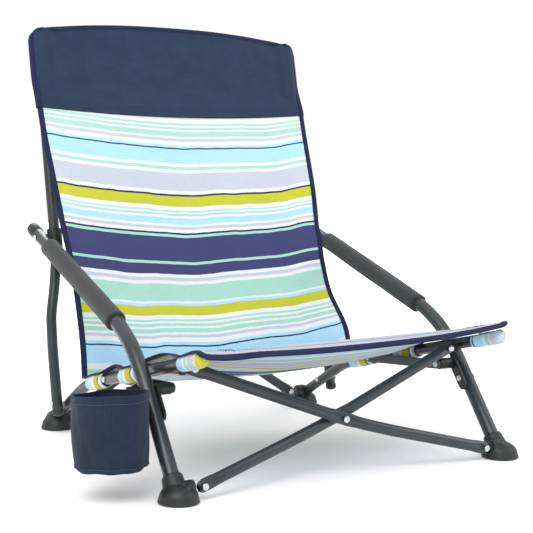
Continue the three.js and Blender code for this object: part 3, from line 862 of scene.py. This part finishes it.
def build_back(columns=132, rows=120):
    """The back of the sling, from the crease up behind the header's lower seam."""
    u = np.linspace(-1, 1, columns)
    t = np.linspace(0, 1, rows)
    share, front, half = back_edge(t).T
    line = UPRIGHT_FOOT + np.outer(share * UPRIGHT_LENGTH, UPRIGHT_RISE) + np.outer(front, UPRIGHT_FRONT)
    points = np.zeros((rows, columns, 3))
    points += line[:, None]
    points[:, :, 0] = CENTRE_X + u[None] * half[:, None]
    lengthwise = 0.35 + 0.65 * np.sin(math.pi * np.clip(t * 0.9 + 0.05, 0, 1))
    belly = (1 - np.abs(u) ** 2.2)[None] * lengthwise[:, None]
    belly = belly * (1 - 0.65 * smooth_step((t - 0.7) / 0.25))[:, None]
    points -= belly[:, :, None] * UPRIGHT_FRONT * 13 * MM
    low = crease_row(u)
    fade = (1 - smooth_step(t / 0.28))[:, None, None]
    points = points + (low - points[0])[None] * fade
    near_side = smooth_step((np.abs(u) - 0.45) / 0.45)
    fold = ripples(u * 3.1, t * 1.1, 1.3) * 3.2 + ripples(u * 8, t * 2.2, 5.1) * 1.5 * near_side
    fold *= MM * (1 - np.abs(u) ** 8) * (1 - t[:, None] ** 6)
    points += fold[:, :, None] * UPRIGHT_FRONT
    down = np.cumsum(np.r_[0, np.linalg.norm(np.diff(line[::-1], axis=0), axis=1)])[::-1]
    dip = 19 * MM * (1 - u**2)[None] * (0.45 + 0.55 * smooth_step(t / 0.4))[:, None]
    tilt = u[None] * (3.5 - 12 * (1 - t) ** 3)[:, None] * MM
    wave = ripples(u * 3.3 + 0.6, t * 1.6, 9.4) * 4.2 + ripples(u * 11, t * 5, 2.2) * 0.8
    stripe = down[:, None] - dip - tilt + wave * MM * smooth_step((1 - np.abs(u)) / 0.10) - 5 * MM
    across = np.tile(u * RAIL_X, (rows, 1))
    piece = grid_piece("sling_back_cloth", points, STRIPED, stripe, across)
    held = np.zeros((rows, columns), bool)
    held[:, :2] = held[:, -2:] = held[0] = held[-1] = True
    settle(piece, held, 10, 0.010, 2.6 * MM)
    final = grid_points(piece, (rows, columns))
    thicken(piece)
    dress(piece, "upright_left", "sling_back")
    edges = [tape(final[:, c], final[:, inner] - final[:, c]) for c, inner in ((0, 6), (-1, -7))]
    binding = add_part("sling_back_binding", joined(*edges), TAPE, "upright_left", sharp=50)
    normals = surface_normals(final)
    seams = [stitches(final[2:-2, c], -normals[2:-2, c], lift=1.2 * MM) for c in (3, -4)]
    thread_piece = add_part("sling_back_stitches", joined(*seams), THREAD_DARK, "upright_left")
    return piece, binding, thread_piece


# places along the rail, as shares from the tip to the bend, where a cloth loop goes round it
LOOPS = ((0.012, 0.16), (0.50, 0.64), (0.80, 0.955))


def scallop(share):
    """0 on a loop and 1 half way between two of them."""
    for (_, end), (start, _) in zip(LOOPS, LOOPS[1:]):
        if end < share < start:
            return math.sin(math.pi * (share - end) / (start - end))
    return 0.0


def seat_rows(u, v):
    """The seat from the crease, v = 0, to its front edge, v = 1."""
    rear = crease_row(u)
    rows, columns = len(v), len(u)
    points = np.zeros((rows, columns, 3))
    front_y = RAIL_TIP[1] - 13 * MM
    rear_y = rear[0, 1]
    for r, share in enumerate(v):
        y = rear_y + (front_y - rear_y) * share
        bump = scallop(1 - share)
        from_front = (1 - share) * abs(front_y - rear_y)
        half = 261 * MM - 9 * MM * bump - 4 * MM * (1 - smooth_step(share / 0.1))
        if from_front < SEAT_CORNER:
            half += math.sqrt(max(SEAT_CORNER**2 - (SEAT_CORNER - from_front) ** 2, 0)) - SEAT_CORNER
        edge_z = rail_height(y) + 11.5 * MM + 8 * MM * bump + 5.5 * MM * smooth_step((share - 0.8) / 0.2)
        level = rail_height(front_y) + 5 * MM
        lean = 5 * MM * smooth_step((share - 0.66) / 0.3)
        descent = smooth_step((from_front - 0.4 * BAND_DEPTH) / (2.0 * BAND_DEPTH))
        belly = rail_height(y) - 9 * MM - 4 * MM * math.sin(math.pi * share)
        middle_z = level + (belly - level) * descent
        for c, side in enumerate(u):
            spread = 1 - abs(side) ** (2.6 - 0.5 * descent)
            z = edge_z + (middle_z - edge_z) * spread + side * lean
            hang = 9 * MM * np.clip(1 - from_front / (10 * MM), 0, 1) ** 1.2
            at_left = smooth_step((-side - 0.60) / 0.32)
            hang += 5 * MM * at_left * np.clip(1 - from_front / (15 * MM), 0, 1) ** 1.1
            points[r, c] = (CENTRE_X + side * half, y, z - hang)
    points[0] = rear
    blend = (1 - smooth_step(v / 0.12))[:, None, None]
    base_rear = points[1] + (points[1] - points[2])
    points[1:] += (rear - base_rear)[None] * blend[1:] * (1, 0, 1)
    return points


def build_seat(columns=132, rows=116):
    u = np.linspace(-1, 1, columns)
    v = np.linspace(0, 1, rows)
    points = seat_rows(u, v)
    edge = smooth_step((np.abs(u) - 0.6) / 0.35)
    fold = ripples(u * 2.6, v * 3.2, 6.6) * 2.0 + ripples(u * 4, v * 14, 4.4) * 2.4 * edge
    points[:, :, 2] += fold * MM * (1 - np.abs(u) ** 10) * np.sqrt(np.sin(math.pi * v))[:, None]
    length = np.linalg.norm(points[0, 0] - points[-1, 0])
    stripe = printed_length() + BAND_DEPTH - np.tile(((1 - v) * length)[:, None], (1, columns))
    stripe -= (5 * MM * (1 - np.abs(u) ** 2))[None] * (1 - v)[:, None]
    across = np.tile(u * RAIL_X, (rows, 1))
    piece = grid_piece("sling_seat_cloth", points, STRIPED, stripe, across)
    held = np.zeros((rows, columns), bool)
    held[:, :3] = held[:, -3:] = held[0] = held[-1] = True
    settle(piece, held, 10, 0.008, 2.0 * MM)
    final = grid_points(piece, (rows, columns))
    thicken(piece)
    dress(piece, "rail_left", "sling_seat")
    edge = np.concatenate([final[:, 0], final[-1, 1:-1], final[::-1, -1]])
    inner = np.concatenate([final[:, 7], final[-3, 1:-1], final[::-1, -8]])
    order = resample_pair(edge, inner, 3.2 * MM)
    binding = add_part("sling_seat_binding", tape(*order, TAPE_WIDTH * 0.95), TAPE, "rail_left", sharp=50)
    normals = -surface_normals(final)
    seams = [
        stitches(final[-24:-2, c], normals[-24:-2, c], lift=1.2 * MM, thick=0.65 * MM)
        for c in (11, 14, -12, -15)
    ]
    seams.append(stitches(final[-4, 4:-4], normals[-4, 4:-4], lift=1.2 * MM))
    thread_piece = add_part("sling_seat_stitches", joined(*seams), THREAD_GREY, "rail_left")
    facing = build_facing(final, u)
    build_loops(final)
    return piece, binding, thread_piece, facing


def resample_pair(edge, inner, step):
    """Evenly spaced points of an edge, with the direction from each into the cloth."""
    lengths = np.r_[0, np.cumsum(np.linalg.norm(np.diff(edge, axis=0), axis=1))]
    at = np.linspace(0, lengths[-1], int(lengths[-1] / step))
    inward = unit(inner - edge)
    place = np.stack([np.interp(at, lengths, edge[:, k]) for k in range(3)], axis=1)
    heading = np.stack([np.interp(at, lengths, inward[:, k]) for k in range(3)], axis=1)
    return softened(place, 1), softened(heading, 3)


def build_facing(seat, u):
    """The front hem's folded layer under the seat."""
    rows = 18
    part = seat[-rows:-1].copy()
    part[:, :, 2] -= 2.4 * MM
    part[:, :, 0] = CENTRE_X + (part[:, :, 0] - CENTRE_X) * 0.95
    stripe = np.tile((printed_length() + np.linspace(-62, -6, rows - 1) * MM)[:, None], (1, len(u)))
    piece = grid_piece("sling_front_hem", part, STRIPED, stripe, np.tile(u * RAIL_X, (rows - 1, 1)))
    thicken(piece, 1.1 * MM)
    dress(piece, "rail_left")
    return piece


def build_loops(seat):
    """Bands of the same cloth that go round each rail; the front one is closed over the rail's tip."""
    front_y, rear_y = seat[-1, 0, 1], seat[0, 0, 1]
    stations = np.linspace(0, 1, 34)
    angles = np.linspace(math.radians(66), math.radians(-216), 34)
    full_turn = np.linspace(math.radians(105), math.radians(-255), 34)
    for side, sign in SIDES:
        for number, (start, end) in enumerate(LOOPS):
            front = number == 0
            length = abs(rear_y - front_y) * (end - start)
            start_stripe = printed_length(18) - 14 * MM
            if front:
                start_stripe = printed_length(-9) + (3 if sign > 0 else -8) * MM
            grid = np.zeros((len(stations), len(angles), 3))
            stripe = np.zeros(grid.shape[:2])
            for i, share in enumerate(stations):
                y = front_y + (rear_y - front_y) * (start + (end - start) * share)
                z = rail_height(y)
                closing, shut = 1.0, 0.0
                if front:
                    shut = 1 - smooth_step(share * length / (16 * MM))
                    past = np.clip((9 * MM - share * length) / (9 * MM), 0, 1)
                    closing = math.sqrt(max(1 - past**2, 0.0)) + 0.04
                for j, angle in enumerate(angles + (full_turn - angles) * shut):
                    pleat = ripple(i * 0.22, angle * 1.4, number * 3 + 2 * sign)
                    loose = 1.2 + 0.4 * (pleat + 0.5) if front else 1.6 + 1.3 * (pleat + 0.5)
                    radius = (RAIL_RADIUS + loose * MM) * closing
                    sway = 3.5 * MM * math.sin(angle) * math.sin(math.pi * share)
                    x = CENTRE_X + sign * (RAIL_X + radius * math.cos(angle))
                    flat = 0.92 if front and math.sin(angle) > 0 else 1.05
                    grid[i, j] = (x, y + sway, z + radius * math.sin(angle) * flat)
                    stripe[i, j] = start_stripe + share * length + 0.5 * sway
            across = np.tile(angles * RAIL_RADIUS, (len(stations), 1))
            piece = grid_piece(f"rail_loop_{side}_{number + 1}", grid, STRIPED, stripe, across)
            thicken(piece, 1.2 * MM)
            dress(piece, f"rail_{side}")


def header_outline(u, w):
    """Place of the header's cloth at u across and w up, before its thickness."""
    seam_share, _, half = BACK_EDGE[-1]
    top = 1.028 + 0.026 * (1 - abs(u) ** 2.4)
    low = seam_share - 0.013 - 0.018 * (1 - abs(u) ** 2)
    share = low + (top - low) * w
    below_top = (1 - w) * (top - low) * UPRIGHT_LENGTH
    if below_top < HEADER_CORNER:
        half += math.sqrt(max(HEADER_CORNER**2 - (HEADER_CORNER - below_top) ** 2, 0)) - HEADER_CORNER
    place = UPRIGHT_FOOT + UPRIGHT_RISE * share * UPRIGHT_LENGTH
    place[0] = CENTRE_X + u * half
    return place


def header_depth(w, x):
    """Half the header's thickness: round over the uprights, thin between them and at the edges."""
    beside = abs(x - CENTRE_X) - RAIL_X
    wrap = RAIL_RADIUS + 1.9 * MM
    turn = 0.66 * wrap
    shoulder = math.sqrt(wrap**2 - turn**2)
    if beside > turn:
        depth = shoulder * (1 - smooth_step((beside - turn) / (9 * MM))) + 1.0 * MM
    elif beside > -turn:
        depth = math.sqrt(wrap**2 - beside**2) + 0.6 * MM
    else:
        depth = 3.0 * MM + (shoulder - 2.4 * MM) * (1 - smooth_step((-turn - beside) / (26 * MM)))
    closing = max(0.0, (w - 0.93) / 0.07)
    return depth * math.sqrt(max(1 - closing**2, 0)) + 0.8 * MM


def build_header(columns=150, rows=54):
    """Two cloths that meet at the bound edge and hold the uprights' tops between them."""
    u = np.linspace(-1, 1, columns)
    w = np.linspace(0, 1, rows)
    outline = np.array([[header_outline(a, b) for a in u] for b in w])
    depth = np.array([[header_depth(b, outline[j, i, 0]) for i in range(columns)] for j, b in enumerate(w)])
    ahead = (BACK_EDGE[-1][1] * (1 - smooth_step(w / 0.45)))[:, None]
    free = np.minimum(1, ((np.abs(outline[:, :, 0] - CENTRE_X) - RAIL_X) / (14 * MM)) ** 2)
    reach = {"front": np.maximum(ahead + 2.2 * MM, depth), "back": ahead * free - depth}
    held = np.zeros((rows, columns), bool)
    held[0] = held[-1] = True
    held[:, np.abs(u) > 0.86] = True
    pocket = np.exp(-(((np.abs(u) - 0.84) / 0.10) ** 2))
    fade = np.sin(math.pi * w)[:, None] * (1 - np.abs(u) ** 12)
    cloths, grids, tapes = [], [], []
    for name, sign in (("front", 1), ("back", -1)):
        fold = ripples(u * 4, w * 1.5, 7.7 + sign) * 1.6 + ripples(u * 16, w * 3, 1.9) * 1.5 * pocket
        points = outline + (reach[name] + sign * fold * MM * fade)[:, :, None] * UPRIGHT_FRONT
        piece = grid_piece(f"header_{name}_cloth", points, NAVY)
        settle(piece, held, 6, 0.004, 0.8 * MM, 25)
        grid = grid_points(piece, (rows, columns))
        thicken(piece)
        cloths.append(dress(piece, "upright_left", "header_panel"))
        grids.append(grid)
        rim = np.concatenate([grid[:, 0], grid[-1, 1:-1], grid[::-1, -1]])
        inner = np.concatenate([grid[:, 3], grid[-4, 1:-1], grid[::-1, -4]])
        tapes.append(tape(*resample_pair(rim, inner, 3.2 * MM), 7.5 * MM, 4.2 * MM))
    binding = add_part("header_binding", joined(*tapes), TAPE, "upright_left", sharp=50)
    front = grids[0]
    normals = -surface_normals(front)
    normals = normals * np.sign(np.sum(normals[20, 70] * UPRIGHT_FRONT))
    lines = [(front[r, 4:-4], normals[r, 4:-4]) for r in (3, 5)]
    for share in (0.865, 0.885):
        for sign in (-1, 1):
            column = int(np.argmin(np.abs(u - sign * share)))
            lines.append((front[2:-4, column], normals[2:-4, column]))
    seams = [stitches(path, normal, lift=0.9 * MM) for path, normal in lines]
    thread_piece = add_part("header_stitches", joined(*seams), THREAD_DARK, "upright_left")
    return *cloths, binding, thread_piece


def build_cup(sides=128, rows=46):
    """A soft round pouch with a turned-over hem, a sagging base and a strap."""
    low, high = (np.array(c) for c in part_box("cup_holder"))
    radius = (high[1] - low[1]) / 2
    centre = np.array([low[0] + radius, low[1] + radius, 0.0])
    top, bottom = high[2], low[2]
    angles = np.arange(sides) * 2 * math.pi / sides
    wall = np.zeros((rows, sides, 3))
    for i, share in enumerate(np.linspace(0, 1, rows)):
        height = top + (bottom + 5 * MM - top) * share
        hem = 1.4 * MM * smooth_step((0.095 - share) / 0.012)
        belly = 1.5 * math.sin(math.pi * share) - 2.2 * share**3
        for j, angle in enumerate(angles):
            x, y = math.cos(angle), math.sin(angle)
            wobble = ripple(x * 1.6, y * 1.6 + share * 1.4, 3.1) * 3.4
            crease = ripple(x * 5, y * 5 + share * 2.2, 6.3) * 1.3
            r = radius - 3.2 * MM + hem + (wobble + crease * (0.3 + share) + belly) * MM
            lift = (ripple(x * 1.2 + 4, y * 1.2, 2.6) * 2.2 - 4.2 * y) * MM
            z = height + lift * (1 - share) ** 2 + 2.2 * MM * ripple(x * 2, y * 2, 9) * share**6
            wall[i, j] = (centre[0] + r * x, centre[1] + r * y, z)
    base = []
    for scale in (0.985, 0.95, 0.88, 0.75, 0.55, 0.3, 0.1, 0.004):
        ring = wall[-1].copy()
        ring[:, :2] = centre[:2] + (ring[:, :2] - centre[:2]) * scale
        ring[:, 2] = ring[:, 2] - (2.5 * MM if scale > 0.96 else 3.6 * MM + 2.2 * MM * (1 - scale))
        base.append(ring)
    points = np.concatenate([wall, np.array(base)])
    faces = ring_faces(len(points), sides, closed_ends=False)
    faces.append(tuple((len(points) - 1) * sides + s for s in range(sides)))
    pouch = make_piece("cup_pouch", points.reshape(-1, 3), faces, CUP, 50)
    thicken(pouch, 1.6 * MM)
    dress(pouch, "rail_left", "cup_holder", "cup_strap")
    closed = np.concatenate([wall, wall[:, :1]], axis=1)
    outward = unit(closed - centre * (1, 1, 0) - closed * (0, 0, 1))
    seams = [stitches(closed[r] + outward[r] * 0.9 * MM, outward[r], lift=0.5 * MM) for r in (4, -2)]
    add_part("cup_stitches", joined(*seams), THREAD_GREY, "rail_left")
    piping = sweep(closed[-1] + outward[-1] * 0.6 * MM, Z, 1.5 * MM, 1.5 * MM, 10)
    rim = sweep(closed[0] + Z * 0.2 * MM, Z, 1.5 * MM, 1.3 * MM, 10)
    add_part("cup_piping", joined(piping, rim), CUP, "rail_left")
    strap_end = np.array(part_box("cup_strap")[1]) - (3 * MM, 10 * MM, 0)
    strap_start = centre + np.array([0.72, 0.69, 0]) * (radius - 1 * MM) + Z * (top - 7 * MM)
    hang = np.linspace(strap_start, strap_end, 24)
    hang[:, 2] -= 5 * MM * np.sin(np.linspace(0, math.pi, 24))
    add_part("cup_strap", sweep(hang, Z, 9 * MM, 1.1 * MM, 20), CUP, "rail_left")


# ---- stage ------------------------------------------------------------------------------------
def build_floor():
    """A pale floor that glows more with distance, so that it fades into the white behind it. Its faint glow near
    the chair is painted light that lightens the chair's shadow on the floor.
    """
    corners = [(-9, -9, 0), (9, -9, 0), (9, 12, 0), (-9, 12, 0)]
    floor = make_piece("floor", corners, [(0, 1, 2, 3)], COAT, 0)
    n = Nodes("pale_floor")
    n.surface(Base_Color=FLOOR_COLOUR, Roughness=0.9, Specular_IOR_Level=0.05)
    away = n.add("ShaderNodeVectorMath", {0: n.place()}, operation="LENGTH").outputs["Value"]
    glow = n.remap(away, *FLOOR_FADES, *FLOOR_GLOW)
    n.surface(Emission_Color=(1, 1, 1), Emission_Strength=glow)
    floor.data.materials[0] = n.material


def build_sky():
    """Light from all round, stronger from above, with plain white where the camera sees it."""
    world = bpy.data.worlds.new("studio")
    world.use_nodes = True
    tree = world.node_tree
    height = tree.nodes.new("ShaderNodeSeparateXYZ")
    tree.links.new(tree.nodes.new("ShaderNodeTexCoord").outputs["Generated"], height.inputs[0])
    ramp = tree.nodes.new("ShaderNodeValToRGB")
    tree.links.new(height.outputs["Z"], ramp.inputs[0])
    for stop, (position, grey) in zip(ramp.color_ramp.elements, SKY_STOPS):
        stop.position = position
        stop.color = (grey, grey, grey, 1)
    studio = tree.nodes["Background"]
    tree.links.new(ramp.outputs["Color"], studio.inputs["Color"])
    studio.inputs["Strength"].default_value = 1.0
    backdrop = tree.nodes.new("ShaderNodeBackground")
    backdrop.inputs["Color"].default_value = (1, 1, 1, 1)
    seen = tree.nodes.new("ShaderNodeLightPath")
    choose = tree.nodes.new("ShaderNodeMixShader")
    tree.links.new(seen.outputs["Is Camera Ray"], choose.inputs[0])
    tree.links.new(studio.outputs[0], choose.inputs[1])
    tree.links.new(backdrop.outputs[0], choose.inputs[2])
    tree.links.new(choose.outputs[0], tree.nodes["World Output"].inputs["Surface"])
    bpy.context.scene.world = world


def build_lamps():
    for name, place, size, power in LAMPS:
        lamp = bpy.data.lights.new(name, "AREA")
        lamp.energy, lamp.size = power, size
        light = bpy.data.objects.new(name, lamp)
        light.location = place
        aim = Vector(LAMPS_AIM) - Vector(place)
        light.rotation_euler = aim.to_track_quat("-Z", "Y").to_euler()
        bpy.context.scene.collection.objects.link(light)


def build_camera():
    camera = bpy.data.cameras.new("camera")
    camera.sensor_width = 36
    camera.lens = FOCAL_LENGTH
    view = bpy.data.objects.new("camera", camera)
    view.location = CAMERA_PLACE
    view.rotation_euler = (math.radians(90 - CAMERA_TILT), 0, math.radians(CAMERA_TURN))
    bpy.context.scene.collection.objects.link(view)
    bpy.context.scene.camera = view
    bpy.context.scene.view_settings.view_transform = "Standard"


build_camera()
build_floor()
build_sky()
build_lamps()
build_tubes()
build_rivets()
build_caps()
build_feet()
build_brackets()
build_grips()
sling_and_header = [*build_back(), *build_header(), *build_seat()]
build_cup()

# each piece of the sling and header gets its own copy of its mesh
for soft in sling_and_header:
    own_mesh(soft)
